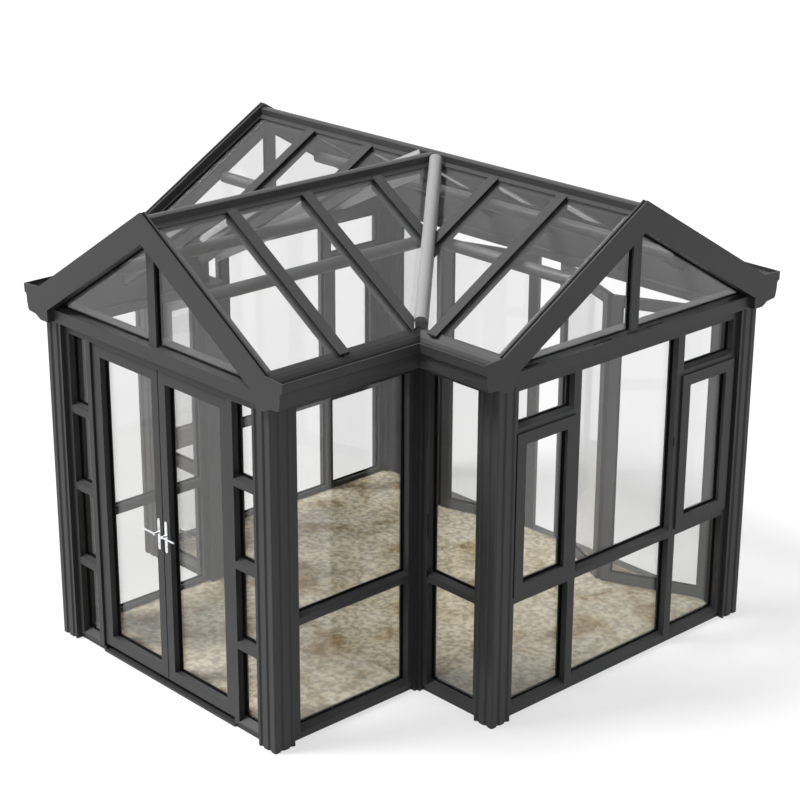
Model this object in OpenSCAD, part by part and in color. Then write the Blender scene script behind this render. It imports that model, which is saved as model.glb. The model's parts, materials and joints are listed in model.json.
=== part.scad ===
// Glass conservatory on a T-shaped plan: a main room under one ridge and an
// entrance wing under a second ridge of the same height, with a valley on each
// side where the two roofs meet. Aluminium frames, glass walls and roof.
// Plan: X runs along the main ridge, Y runs from the entrance to the back wall.

/* [Main room] */
// Length of the main room from gable face to gable face
main_length = 3520; // [3000:10:4400]
// Depth of the main room from front wall face to back wall face
main_depth = 2380; // [2000:10:3000]

/* [Entrance wing] */
// Width of the entrance wing over its side walls
wing_width = 2200; // [2000:10:2500]
// How far the wing stands in front of the main room
wing_length = 1160; // [950:10:1800]

/* [Heights] */
// Top of the wall frames and posts
wall_top = 2195; // [2000:5:2500]
// Rise from the wall top to the roof line over the wall face
eaves_rise = 219; // [190:1:260]
// Rise from the eaves to the ridges
roof_rise = 701; // [550:1:900]
// Top of the finished floor
floor_height = 50; // [30:5:60]

/* [Posts] */
// Side of a square corner post
post_size = 155; // [130:5:180]
// Flutes on each outer face of a corner post
post_flutes = 2; // [1:1:4]
// Depth of a flute
flute_depth = 9; // [4:1:12]
// Width of a flute at the face
flute_width = 30; // [16:1:36]
// Width of the rib beside each flute
rib_width = 40; // [24:1:50]
// Setback of the inner corner posts behind the wall faces
inner_face = 10; // [6:1:20]
// Reach of an inner corner post past the corner on each wall
inner_arm = 12; // [10:1:40]

/* [Wall frames] */
// Setback of the wall frames behind the post faces
frame_setback = 30; // [20:2:40]
// Depth of the wall frames from outside to inside
frame_depth = 90; // [80:5:110]
// Height of a bottom rail
base_rail = 85; // [70:5:110]
// Height of a head rail
head_rail = 55; // [45:5:70]
// Width of a stile beside a post
stile = 42; // [35:1:50]
// Width of the stile beside the front post of a wing side wall
front_stile = 68; // [50:1:80]
// Width of a mullion or mid rail
mullion = 62; // [50:2:75]
// Height of the middle of the mid rails
mid_rail_height = 800; // [650:10:950]
// Distance of the gable wall mullions from the middle of the wall
mullion_offset = 480; // [400:10:560]
// Height of the top lights over the casements
top_light = 219; // [150:1:300]
// Thickness of the wall glass
glass_thickness = 20; // [16:1:24]
// Setback of the wall glass behind the frame face
glass_setback = 48; // [30:1:60]
// Drop of the sloped sill in front of a pane
sill_drop = 16; // [8:1:20]
// Drop of the sloped sill over a bottom rail
base_sill_drop = 32; // [20:1:45]
// Height of the recess at the foot of the walls
foot_height = 34; // [20:1:40]
// Depth of the recess at the foot of the walls
foot_depth = 14; // [8:1:20]
// Gap between a pane and the frame around it
pane_clear = 0.3; // [0.2:0.1:0.6]

/* [Entrance doors] */
// Half width of the doorway between the jambs
doorway_half = 678; // [600:2:720]
// Width of a door jamb, which is also the stile of the side light
jamb = 45; // [38:1:55]
// Running gap round a door leaf
door_gap = 5; // [5:0.5:8]
// Gap between the two leaves
meeting_gap = 8; // [8:0.5:12]
// Thickness of a door leaf
leaf_thickness = 80; // [60:1:90]
// Setback of the leaf glass behind the face of the leaf
leaf_glass_setback = 44; // [30:1:50]
// Width of the outer stile and top rail of a leaf
leaf_stile = 80; // [65:1:100]
// Width of a meeting stile
meeting_stile = 64; // [56:1:80]
// Height of the bottom rail of a leaf
leaf_bottom_rail = 75; // [60:5:110]
// Height of the threshold
threshold = 16; // [12:1:20]
// Transoms in each side light
side_light_rails = 3; // [1:1:4]

/* [Door handles] */
// Height of the lever spindle
handle_height = 1060; // [950:5:1150]
// Length of a back plate
plate_length = 210; // [160:5:240]
// Width of a back plate
plate_width = 26; // [22:1:32]
// Thickness of a back plate
plate_thickness = 7; // [5:1:9]
// Diameter of the spindle
spindle_d = 9; // [8:0.5:12]
// Length of a lever from its spindle
lever_length = 120; // [90:5:140]
// Thickness of the lever bar
lever_bar = 13; // [10:1:16]
// How far a lever stands off the leaf
lever_reach = 46; // [38:1:52]

/* [Casements] */
// Width of the casement sash frame
sash_stile = 62; // [50:2:70]
// How far a sash stands in front of the wall frame
sash_proud = 14; // [8:1:20]

/* [Folding doors] */
// Share of half the back opening that one folding panel spans
fold_share = 0.487; // [0.4:0.001:0.49]
// Thickness of a folding panel
fold_thickness = 45; // [38:1:55]
// Stile width of a folding panel
fold_stile = 70; // [55:5:85]
// Fold angle of the right pair
fold_angle_right = 24; // [4:1:40]
// Fold angle of the left pair
fold_angle_left = 17; // [4:1:40]

/* [Eaves] */
// Reach of the gutter lip past the wall face
gutter_reach = 166; // [140:2:200]
// Height of the gutter lip over the wall top
gutter_rise = 205; // [180:5:230]
// Thickness of the gutter wall
gutter_wall = 7; // [5:1:10]
// Height of the gutter floor over the wall top
trough_height = 46; // [36:1:60]
// Height of the fascia band under the gutter lip
fascia_height = 57; // [40:1:64]
// Radius of the cove under the fascia
cove_radius = 20; // [14:1:22]
// Depth of the eaves beam behind the wall face
beam_inner = 80; // [70:1:90]
// Radius of the beam's rounded shoulder
beam_round = 150; // [120:1:170]
// Setback of the foot of the roof glass behind the wall face
pane_foot = 66; // [50:1:70]

/* [Gables] */
// How far the verge boards stand in front of the posts
verge_proud = 40; // [30:2:60]
// Reach of the square-cut foot of a verge past the wall face
verge_foot = 6; // [0:1:20]
// Width of each lip on top of a verge board
verge_lip = 12; // [8:1:16]
// Depth of the groove between the lips
verge_groove = 10; // [6:1:14]
// Height of a verge board, measured upright
verge_height = 190; // [160:5:220]
// Height of the tie beam face
tie_height = 80; // [60:5:100]
// Rise of the tie beam top behind its face
tie_bevel = 22; // [10:2:30]
// Width of the king mullion
king_width = 74; // [60:2:90]

/* [Roof] */
// Setdown of the bar caps under the verge line
cap_down = 40; // [30:1:46]
// Thickness of the bar caps
cap_thickness = 8; // [6:1:12]
// Gap between a bar cap and the glass
cap_gap = 14; // [8:1:20]
// Width of a bar cap
cap_width = 76; // [50:2:84]
// Setback of the foot of a bar cap behind the wall face
cap_foot = 24; // [10:1:36]
// Thickness of the roof glass
roof_glass = 20; // [16:1:24]
// Width of a rafter under the glass
rafter_width = 46; // [40:2:60]
// Depth of a rafter under the glass, measured upright
rafter_depth = 70; // [60:5:90]
// Width of the web between two roof panes
web_width = 16; // [12:1:20]
// Roof bays along the wing from gable to main ridge
wing_bays = 4; // [3:1:6]
// Roof bays along half of the main ridge
half_bays = 3; // [2:1:4]
// Half width of the ridge beams
ridge_half = 34; // [28:2:44]
// Setdown of the crown of a ridge beam under the verge line
ridge_down = 27; // [16:1:34]
// Depth of the ridge beams
ridge_depth = 120; // [105:5:190]
// Radius of the crown of a ridge beam
ridge_crown = 70; // [50:1:120]
// Width of the flashing on the glass along ridges
flashing_width = 28; // [20:1:40]
// Thickness of the flashing
flashing = 6; // [4:1:10]
// Radius of the rounded valley cap
valley_radius = 42; // [30:1:48]
// Half width of a valley beam
valley_half = 40; // [36:1:50]
// Radius of a purlin tube
purlin_radius = 40; // [24:1:46]
// Share of a slope, from the ridge, at which its purlin lies
purlin_share = 0.363; // [0.3:0.001:0.6]

/* [Hidden] */
$fn = 32;

// Colours of the real finishes
frame_colour = "#4a4a4b";
valley_colour = "#939393";
handle_colour = "#e2e2e2";
floor_colour = "#a2977c";
glass_colour = [0.75, 0.82, 0.84, 0.35];

eps = 0.01;
seat = 0.3;
nose_radius = 10;
end_plate = 8;
shoulder_step = 9;
right_angle = 90;
trough_inset = 72;
lip_drop = 24;
foot_inset = 116;
foot_rise = 27;
bevel_inset = 46;
bevel_rise = 33;
band_inset = 35;
band_rise = 44;
cove_inset = 26;
cove_drop = 118;
fascia_lean = 3;
heel_inset = 46;
heel_rise = 79;
bevel_depth = 60;
king_setback = 20;
gable_glass_at = 40;
verge_flange = 24;
far = 4 * main_length;

main_half = main_length / 2;
wing_half = wing_width / 2;
depth_half = main_depth / 2;

// The origin lies in the middle of the footprint box, on the ground
front_edge = -wing_length - verge_proud;
back_edge = main_depth + gutter_reach;
origin_y = (front_edge + back_edge) / 2;

eaves_height = wall_top + eaves_rise;
ridge_height = eaves_height + roof_rise;
valley_run = sqrt(wing_half * wing_half + depth_half * depth_half);
valley_turn = atan2(depth_half, wing_half);

// Distances under the roof line, measured upright
k_cap = cap_down;
k_glass = k_cap + cap_thickness + cap_gap;
k_rafter = k_glass + roof_glass + seat;
k_under = k_rafter + rafter_depth;
k_valley = 12;
k_purlin = k_under + purlin_radius / cos(atan(roof_rise / min(wing_half, depth_half))) + 2 * seat;

head_under = wall_top - head_rail;
frame_back = frame_setback + frame_depth;
glass_at = frame_setback + glass_setback;

// Shared placing

// Moves a piece drawn in plan units to the row frame
module place() {
    translate([0, -origin_y, 0]) children();
}

// Stands a wall on a face line: u runs along the wall, +Y points indoors
module on_wall(x, y, turn) {
    translate([x, y, 0]) rotate([0, 0, turn]) children();
}

module on_front() { on_wall(0, -wing_length, 0) children(); }
module on_wing_right() { on_wall(wing_half, -wing_length, 90) children(); }
module on_main_right() { on_wall(main_half, 0, 90) children(); }
module on_main_front() { on_wall(0, 0, 0) children(); }
module on_back() { on_wall(0, main_depth, 180) children(); }
module flip(side) { scale([side, 1, 1]) children(); }

// Extrudes an upright drawing (u, z) into the wall from depth d0 to d1
module upright(d0, d1) {
    translate([0, d1, 0]) rotate([90, 0, 0]) linear_extrude(d1 - d0) children();
}

// A rectangle from its low and high corners
module rect(u0, z0, u1, z1) {
    translate([u0, z0]) square([u1 - u0, z1 - z0]);
}

// Wall frames

// A frame plate with a hole for each pane [u0, z0, u1, z1]
module frame_plate(u0, u1, panes) {
    difference() {
        upright(frame_setback, frame_back) difference() {
            rect(u0, 0, u1, wall_top - seat);
            for (p = panes) rect(p[0], p[1], p[2], p[3]);
        }
        for (p = panes) sill_cut(p, p[1] == base_rail ? base_sill_drop : sill_drop);
        foot_cut(u0, u1);
    }
}

// What the sloped sill in front of a pane leaves off the rail
module sill_cut(p, drop) {
    translate([p[0], 0, 0]) rotate([90, 0, 90]) linear_extrude(p[2] - p[0]) polygon([
        [frame_setback - eps, p[1] - drop],
        [glass_at, p[1]],
        [glass_at, p[1] + eps],
        [frame_setback - eps, p[1] + eps]
    ]);
}

// What the recess at the foot of a wall leaves off the frame
module foot_cut(u0, u1) {
    upright(frame_setback - eps, frame_setback + foot_depth) rect(u0 - eps, -eps, u1 + eps, foot_height);
}

// Glass for the same panes
module pane_set(panes, at = glass_at) {
    upright(at, at + glass_thickness)
        for (p = panes) rect(p[0] + pane_clear, p[1] + pane_clear, p[2] - pane_clear, p[3] - pane_clear);
}

// Lower and upper pane of one bay
function bay_panes(u0, u1) = [
    [u0, base_rail, u1, mid_rail_height - mullion / 2],
    [u0, mid_rail_height + mullion / 2, u1, head_under]
];

// Side wall of the wing, measured from the wing front
wing_side_u0 = post_size + seat;
wing_side_u1 = wing_length - inner_arm - seat;
wing_side_panes = bay_panes(wing_side_u0 + front_stile, wing_side_u1 - stile);

// Short front wall of the main room, measured from the middle
short_u0 = wing_half + inner_arm + seat;
short_u1 = main_half - post_size - seat;
short_panes = bay_panes(short_u0 + stile, short_u1 - stile);

// Gable wall of the main room, measured from its front corner
end_u0 = post_size + seat;
end_u1 = main_depth - post_size - seat;
end_left = [end_u0 + stile, depth_half - mullion_offset - mullion / 2];
end_mid = [depth_half - mullion_offset + mullion / 2, depth_half + mullion_offset - mullion / 2];
end_right = [depth_half + mullion_offset + mullion / 2, end_u1 - stile];
low_z = [base_rail, mid_rail_height - mullion / 2];
top_z = [head_under - top_light, head_under];
sash_z = [mid_rail_height + mullion / 2, top_z[0] - mullion];
function bay(u, z) = [u[0], z[0], u[1], z[1]];
sash_bays = [bay(end_left, sash_z), bay(end_right, sash_z)];
end_fixed_panes = [
    bay(end_left, low_z), bay(end_mid, low_z), bay(end_right, low_z),
    bay(end_mid, [sash_z[0], top_z[1]]),
    bay(end_left, top_z), bay(end_right, top_z)
];
end_panes = concat(end_fixed_panes, sash_bays);

// Side lights of the entrance front
light_u0 = doorway_half;
light_u1 = wing_half - post_size - seat;
light_pitch = (head_under - base_rail + mullion) / (side_light_rails + 1);
light_panes = [for (i = [0 : side_light_rails])
    [light_u0 + jamb, base_rail + i * light_pitch, light_u1 - stile, base_rail + (i + 1) * light_pitch - mullion]];

// Pieces on the ground

module floor_slab() {
    inset = frame_back + seat;
    color(floor_colour) place() linear_extrude(floor_height) difference() {
        union() {
            rect(-main_half + inset, inset, main_half - inset, main_depth - inset);
            rect(-wing_half + inset, -wing_length + inset, wing_half - inset, inset + eps);
        }
        for (side = [-1, 1]) {
            scale([side, 1]) post_plan_cut(wing_half, -wing_length, 1);
            scale([side, 1]) post_plan_cut(main_half, 0, 1);
            scale([side, 1]) post_plan_cut(main_half, main_depth, -1);
            scale([side, 1]) rect(wing_half - post_size - seat, -inner_arm - seat, wing_half + inner_arm + seat, post_size + seat);
        }
    }
}

// Plan of the space that a corner post takes
module post_plan_cut(x, y, way) {
    reach = post_size + seat;
    rect(x - reach, min(y, y + way * reach), x + seat, max(y, y + way * reach));
}

// Plan of one flute with splayed sides, cut into the face at y = 0 towards -X
module flute() {
    splay = flute_width / 4;
    polygon([[0, -eps], [-splay, flute_depth], [splay - flute_width, flute_depth], [-flute_width, -eps]]);
}

// Plan of what the rounded outer corner of a post leaves off
module post_nose() {
    difference() {
        translate([-nose_radius, -eps]) square(nose_radius + eps);
        translate([-nose_radius, nose_radius]) circle(r = nose_radius);
    }
}

// Fluted square post; its outer corner is at the origin, the post lies at -X +Y
module corner_post() {
    linear_extrude(wall_top - seat) difference() {
        translate([-post_size, 0]) square(post_size);
        for (i = [0 : post_flutes - 1]) {
            at = rib_width + i * (rib_width + flute_width);
            translate([-at, 0]) flute();
            translate([0, at]) mirror([1, 1]) flute();
        }
        post_nose();
    }
}

module corner_posts() {
    color(frame_colour) place() for (side = [-1, 1]) flip(side) {
        translate([wing_half, -wing_length, 0]) corner_post();
        translate([main_half, 0, 0]) corner_post();
        translate([main_half, main_depth, 0]) scale([1, -1, 1]) corner_post();
    }
}

module inner_posts() {
    color(frame_colour) place() for (side = [-1, 1]) flip(side)
        linear_extrude(wall_top - seat) polygon([
            [wing_half - post_size, -inner_arm],
            [wing_half - inner_face, -inner_arm],
            [wing_half - inner_face, inner_face],
            [wing_half + inner_arm, inner_face],
            [wing_half + inner_arm, post_size],
            [wing_half - post_size, post_size]
        ]);
}

// Walls

module side_light() {
    frame_plate(light_u0, light_u1, light_panes);
    for (z = hinge_heights) translate([hinge_x, hinge_y, z]) hinge_seat();
}

module left_side_light() { color(frame_colour) place() on_front() flip(-1) side_light(); }
module right_side_light() { color(frame_colour) place() on_front() side_light(); }

module door_frame() {
    half = doorway_half - seat;
    color(frame_colour) place() on_front() upright(frame_setback, frame_back) {
        rect(-half, head_under, half, wall_top - seat);
        rect(-half, 0, half, threshold);
    }
}

module wing_side_wall() { on_wing_right() frame_plate(wing_side_u0, wing_side_u1, wing_side_panes); }
module wing_left_wall() { color(frame_colour) place() flip(-1) wing_side_wall(); }
module wing_right_wall() { color(frame_colour) place() wing_side_wall(); }

module short_wall() { on_main_front() frame_plate(short_u0, short_u1, short_panes); }
module front_left_wall() { color(frame_colour) place() flip(-1) short_wall(); }
module front_right_wall() { color(frame_colour) place() short_wall(); }

module end_wall() { on_main_right() frame_plate(end_u0, end_u1, end_panes); }
module left_end_wall() { color(frame_colour) place() flip(-1) end_wall(); }
module right_end_wall() { color(frame_colour) place() end_wall(); }

// Casement sashes sit in front of their openings and lap the frame
sash_lap = 14;
sash_depth = 63;

module sash(bay) {
    outer = [bay[0] + seat, bay[1] + seat, bay[2] - seat, bay[3] - seat];
    upright(frame_setback, frame_setback + sash_depth) difference() {
        rect(outer[0], outer[1], outer[2], outer[3]);
        rect(outer[0] + sash_stile, outer[1] + sash_stile, outer[2] - sash_stile, outer[3] - sash_stile);
    }
    upright(frame_setback - sash_proud, frame_setback - seat) difference() {
        rect(outer[0] - sash_lap, outer[1] - sash_lap, outer[2] + sash_lap, outer[3] + sash_lap);
        rect(outer[0] + sash_stile, outer[1] + sash_stile, outer[2] - sash_stile, outer[3] - sash_stile);
    }
    upright(frame_setback - seat, frame_setback) difference() {
        rect(outer[0], outer[1], outer[2], outer[3]);
        rect(outer[0] + sash_stile, outer[1] + sash_stile, outer[2] - sash_stile, outer[3] - sash_stile);
    }
}

function sash_pane(b) = [b[0] + seat + sash_stile, b[1] + seat + sash_stile, b[2] - seat - sash_stile, b[3] - seat - sash_stile];

module casements() {
    color(frame_colour) place() for (side = [-1, 1]) flip(side) on_main_right() for (b = sash_bays) sash(b);
}

// Glass in the walls

module side_light_glass() {
    color(glass_colour) place() on_front() for (side = [-1, 1]) flip(side) pane_set(light_panes);
}

module side_wall_glass() {
    on_wing_right() pane_set(wing_side_panes);
    on_main_front() pane_set(short_panes);
}
module left_wall_glass() { color(glass_colour) place() flip(-1) side_wall_glass(); }
module right_wall_glass() { color(glass_colour) place() side_wall_glass(); }

module end_wall_glass() {
    on_main_right() {
        pane_set(end_fixed_panes);
        pane_set([for (b = sash_bays) sash_pane(b)], frame_setback + sash_proud);
    }
}
module left_end_glass() { color(glass_colour) place() flip(-1) end_wall_glass(); }
module right_end_glass() { color(glass_colour) place() end_wall_glass(); }

// Entrance doors: the leaves open inwards about pins on their inner faces

leaf_proud = 4;
leaf_back = frame_back + leaf_proud;
leaf_face = leaf_back - leaf_thickness;
leaf_u0 = meeting_gap / 2;
leaf_u1 = doorway_half - door_gap;
leaf_foot_gap = 6;
leaf_z0 = floor_height + leaf_foot_gap;
leaf_z1 = head_under - door_gap;
leaf_pane = [leaf_u0 + meeting_stile, leaf_z0 + leaf_bottom_rail, leaf_u1 - leaf_stile, leaf_z1 - leaf_stile];
hinge_radius = 8;
hinge_x = doorway_half - door_gap / 2;
hinge_y = leaf_back + hinge_radius + 1;
hinge_length = 90;
hinge_foot = 30;
hinge_pin = 4;
hinge_plate = 30;
hinge_plate_t = 4;
hinge_end = 260;
hinge_heights = [leaf_z0 + hinge_end, (leaf_z0 + leaf_z1) / 2, leaf_z1 - hinge_end];
spindle_u = leaf_u0 + meeting_stile / 2;
spindle_clear = 0.05;
plate_drop = 0.55;
neck_d = 1.4 * lever_bar;

// One leaf, drawn for the right-hand side
module door_leaf() {
    difference() {
        upright(leaf_face, leaf_back) difference() {
            rect(leaf_u0, leaf_z0, leaf_u1, leaf_z1);
            rect(leaf_pane[0], leaf_pane[1], leaf_pane[2], leaf_pane[3]);
        }
        translate([spindle_u, leaf_face - eps, handle_height]) rotate([-90, 0, 0])
            cylinder(d = spindle_d + 2 * spindle_clear, h = leaf_thickness + 2 * eps);
    }
    for (z = hinge_heights) translate([hinge_x, hinge_y, z - hinge_length / 2]) hinge_barrel();
}

// Hinge barrel with the leaf plate that carries it
module hinge_barrel() {
    difference() {
        union() {
            cylinder(r = hinge_radius, h = hinge_length);
            translate([-hinge_plate, leaf_back - hinge_y, 0]) cube([hinge_plate, hinge_plate_t, hinge_length]);
        }
        translate([0, 0, -eps]) cylinder(r = hinge_pin + spindle_clear, h = hinge_length + 2 * eps);
    }
}

// Knuckle and pin on the jamb, under a barrel that starts half a barrel lower than the hinge
module hinge_seat() {
    foot = -hinge_length / 2 - hinge_foot - seat;
    translate([0, 0, foot]) cylinder(r = hinge_pin, h = hinge_foot + hinge_length + seat);
    translate([0, 0, foot]) cylinder(r = hinge_radius, h = hinge_foot);
    translate([0, frame_back - hinge_y, foot]) cube([hinge_plate, hinge_plate_t, hinge_foot]);
    translate([0, frame_back - hinge_y, foot]) cube([hinge_plate_t, hinge_y - frame_back, hinge_foot]);
}

module left_door() { color(frame_colour) place() on_front() flip(-1) door_leaf(); }
module right_door() { color(frame_colour) place() on_front() door_leaf(); }

module leaf_glass() { pane_set([leaf_pane], leaf_face + leaf_glass_setback); }
module left_door_glass() { color(glass_colour) place() on_front() flip(-1) leaf_glass(); }
module right_door_glass() { color(glass_colour) place() on_front() leaf_glass(); }

// Back plates on both faces of a leaf, with a hole round the spindle
module leaf_plates() {
    low = handle_height - plate_length * plate_drop;
    for (d = [leaf_face - plate_thickness - seat / 2, leaf_back + seat / 2]) difference() {
        upright(d, d + plate_thickness) hull() {
            translate([spindle_u, low + plate_width / 2]) circle(d = plate_width);
            translate([spindle_u, low + plate_length - plate_width / 2]) circle(d = plate_width);
        }
        translate([spindle_u, d - eps, handle_height]) rotate([-90, 0, 0])
            cylinder(d = spindle_d + 2 * spindle_clear, h = plate_thickness + 2 * eps);
    }
}
module left_plates() { color(handle_colour) place() on_front() flip(-1) leaf_plates(); }
module right_plates() { color(handle_colour) place() on_front() leaf_plates(); }

// Both levers of a leaf on one spindle
module lever_pair() {
    front = leaf_face - lever_reach;
    back = leaf_back + lever_reach;
    neck_gap = plate_thickness + 1;
    translate([spindle_u, front + lever_bar, handle_height]) rotate([-90, 0, 0])
        cylinder(d = spindle_d, h = back - front - 2 * lever_bar);
    for (y = [front, back - lever_bar]) translate([spindle_u, y, handle_height]) {
        rotate([-90, 0, 0]) cylinder(d = neck_d, h = lever_bar);
        rotate([0, 90, 0]) translate([0, lever_bar / 2, 0]) cylinder(d = lever_bar, h = lever_length);
    }
    for (y = [front + lever_bar - eps, leaf_back + neck_gap]) translate([spindle_u, y, handle_height])
        rotate([-90, 0, 0]) cylinder(d = neck_d, h = lever_reach - lever_bar - neck_gap + eps);
}
module left_lever() { color(handle_colour) place() on_front() flip(-1) lever_pair(); }
module right_lever() { color(handle_colour) place() on_front() lever_pair(); }

// Folding doors in the back wall, drawn in the wall's own frame

back_half = main_half - post_size - seat;
fold_gap = 5;
fold_width = fold_share * (back_half - stile);
track_height = floor_height - leaf_proud;
fold_z0 = floor_height + fold_gap;
fold_z1 = head_under - fold_gap;
fold_face = frame_setback + (frame_depth - fold_thickness) / 2;
pin_radius = 6;

module back_frame() {
    color(frame_colour) place() on_back() upright(frame_setback, frame_back) difference() {
        rect(-back_half, 0, back_half, wall_top - seat);
        rect(-back_half + stile, track_height, back_half - stile, head_under);
    }
}

// Panel in its own frame: u from its pivot, +Y indoors
module fold_panel() {
    upright(0, fold_thickness) difference() {
        rect(0, fold_z0, fold_width, fold_z1);
        rect(fold_stile, fold_z0 + fold_stile, fold_width - fold_stile, fold_z1 - fold_stile);
    }
}
module fold_pane() {
    at = (fold_thickness - glass_thickness) / 2;
    pane_set([[fold_stile, fold_z0 + fold_stile, fold_width - fold_stile, fold_z1 - fold_stile]], at);
}

// Pins at the top and foot of a panel, from the track to the head
module fold_pins(u) {
    translate([u, fold_thickness / 2, track_height + seat]) cylinder(r = pin_radius, h = fold_z0 - track_height - seat + eps);
    translate([u, fold_thickness / 2, fold_z1 - eps]) cylinder(r = pin_radius, h = head_under - fold_z1 - seat + eps);
}

// A pair folded by an angle; it starts at a jamb and runs to the lead stile
module fold_pair(angle) {
    inset = back_half - stile - door_gap - fold_thickness * sin(angle);
    translate([-inset, fold_face, 0]) {
        rotate([0, 0, angle]) children(0);
        translate([2 * fold_width * cos(angle), 0, 0]) scale([-1, 1, 1]) rotate([0, 0, angle]) children(0);
    }
}

module panel_with_pins() {
    fold_panel();
    fold_pins(fold_thickness / 2);
}

module folding_doors() {
    color(frame_colour) place() on_back() {
        fold_pair(fold_angle_right) panel_with_pins();
        flip(-1) fold_pair(fold_angle_left) panel_with_pins();
    }
}

module folding_glass() {
    color(glass_colour) place() on_back() {
        fold_pair(fold_angle_right) fold_pane();
        flip(-1) fold_pair(fold_angle_left) fold_pane();
    }
}

// Eaves: a rounded beam with a gutter in one profile

// Profile (reach past the wall face, height)
lip_z = wall_top + gutter_rise;
trough_floor = wall_top + trough_height;
glass_line = eaves_height - k_glass;

// Height of the roof glass and of its bed at u past the wall face
function glass_z(u, slope) = glass_line - u * slope;
function bed_z(u, slope) = eaves_height - u * slope - k_rafter - seat;

// Rounded shoulder of the beam, from its nose in the trough up to the foot of the glass
function nose_u(slope) = beam_round * (1 - sin(atan(slope))) - pane_foot;
function shoulder(slope) = [for (t = [right_angle : -shoulder_step : atan(slope)]) [
    nose_u(slope) - beam_round * (1 - sin(t)),
    glass_z(-pane_foot, slope) - beam_round * (cos(atan(slope)) - cos(t))
]];

// Outside of the gutter: a bevelled foot, a leaning band, a cove and the fascia
gutter_outside = [
    [0, wall_top],
    [gutter_reach - foot_inset, wall_top + foot_rise],
    [gutter_reach - bevel_inset, wall_top + bevel_rise],
    [gutter_reach - band_inset, wall_top + band_rise],
    [gutter_reach - cove_inset, lip_z - cove_drop],
    [gutter_reach - fascia_lean - cove_radius, lip_z - fascia_height - cove_radius],
    [gutter_reach - fascia_lean, lip_z - fascia_height],
    [gutter_reach, lip_z]
];

module cove() { translate([gutter_reach - fascia_lean, lip_z - fascia_height - cove_radius]) circle(r = cove_radius); }

module eaves_profile(slope) {
    nose = nose_u(slope);
    difference() {
        polygon(concat([[-beam_inner, wall_top]], gutter_outside, [
            [gutter_reach - gutter_wall, lip_z],
            [gutter_reach - gutter_wall, lip_z - lip_drop],
            [gutter_reach - trough_inset, trough_floor],
            [nose, trough_floor]
        ], shoulder(slope), [
            [-pane_foot, glass_z(-pane_foot, slope)],
            [-pane_foot, bed_z(-pane_foot, slope)],
            [-beam_inner, bed_z(-beam_inner, slope)]
        ]));
        cove();
    }
}

// End plate of a gutter, up to the foot of the verge
module plate_profile(slope) {
    difference() {
        polygon(concat([[-heel_inset, wall_top]], gutter_outside, [
            [verge_foot, eaves_height - verge_foot * slope],
            [-beam_inner, eaves_height - verge_foot * slope],
            [-beam_inner, wall_top + heel_rise]
        ]));
        cove();
    }
}

// Straight run from a0 to a1 along +Y, its outside on +X
module eaves_run(a0, a1, slope) {
    translate([0, a1, 0]) rotate([90, 0, 0]) linear_extrude(a1 - a0) eaves_profile(slope);
    translate([0, a0 + eps, 0]) rotate([90, 0, 0]) linear_extrude(verge_proud + eps) intersection() {
        eaves_profile(slope);
        past_verge(slope);
    }
    translate([0, a0 - verge_proud + end_plate, 0]) rotate([90, 0, 0]) linear_extrude(end_plate) intersection() {
        plate_profile(slope);
        past_verge(slope);
    }
}

// The side of a verge's square-cut foot that the gutter end takes
module past_verge(slope) {
    translate([verge_foot, eaves_height - verge_foot * slope]) rotate(-atan(slope))
        translate([seat, -far / 2]) square([far, far]);
}

wing_slope = roof_rise / wing_half;
main_slope = roof_rise / depth_half;

// Keeps the side of the mitre that belongs to the wing
module mitre_wing() {
    difference() {
        children();
        translate([wing_half, 0, 0]) rotate([0, 0, -45]) translate([-far / 2, seat / -2, 0]) cube([far, far, far]);
    }
}

module mitre_front() {
    difference() {
        children();
        translate([wing_half, 0, 0]) rotate([0, 0, -45]) translate([-far / 2, seat / 2 - far, 0]) cube([far, far, far]);
    }
}

module wing_eaves() { mitre_wing() translate([wing_half, 0, 0]) eaves_run(-wing_length, beam_inner, wing_slope); }
module front_eaves() {
    mitre_front() rotate([0, 0, -90]) mirror([0, 1, 0]) eaves_run(-main_half, -wing_half + gutter_reach, main_slope);
}
module wing_left_eaves() { color(frame_colour) place() flip(-1) wing_eaves(); }
module wing_right_eaves() { color(frame_colour) place() wing_eaves(); }
module front_left_eaves() { color(frame_colour) place() flip(-1) front_eaves(); }
module front_right_eaves() { color(frame_colour) place() front_eaves(); }
module back_eaves() {
    color(frame_colour) place() translate([0, main_depth, 0]) rotate([0, 0, 90]) union() {
        eaves_run(-main_half, 0, main_slope);
        scale([1, -1, 1]) eaves_run(-main_half, eps, main_slope);
    }
}

// Roof

// Height of the roof line at distance r from the ridge
function roof_z(r, run) = ridge_height - r * roof_rise / run;

// Upright slice of a slope: r from the ridge, a along the eaves, k under the line
module slope_piece(run, r0, r1, k0, k1, a0, a1) {
    translate([0, a1, 0]) rotate([90, 0, 0]) linear_extrude(a1 - a0) polygon([
        [r0, roof_z(r0, run) - k1],
        [r1, roof_z(r1, run) - k1],
        [r1, roof_z(r1, run) - k0],
        [r0, roof_z(r0, run) - k0]
    ]);
}

module on_front_slope() { translate([0, depth_half, 0]) rotate([0, 0, -90]) children(); }
module on_back_slope() { translate([0, depth_half, 0]) rotate([0, 0, 90]) children(); }

// Plan of each roof, up to the valley beams
valley_shift_y = (valley_half + seat) * valley_run / wing_half;
valley_shift_x = (valley_half + seat) * valley_run / depth_half;
module wing_plan() {
    polygon([
        [-far, -far], [far, -far],
        [far, -valley_shift_y - (far - wing_half) * depth_half / wing_half],
        [0, depth_half - valley_shift_y],
        [-far, -valley_shift_y - (far - wing_half) * depth_half / wing_half]
    ]);
}
module front_plan() {
    for (side = [-1, 1]) scale([side, 1]) polygon([
        [valley_shift_x, depth_half], [far, depth_half],
        [far, -far], [wing_half + valley_shift_x + far * wing_half / depth_half, -far]
    ]);
}
module keep(over = far) { intersection() { children(0); linear_extrude(over) children(1); } }

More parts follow.
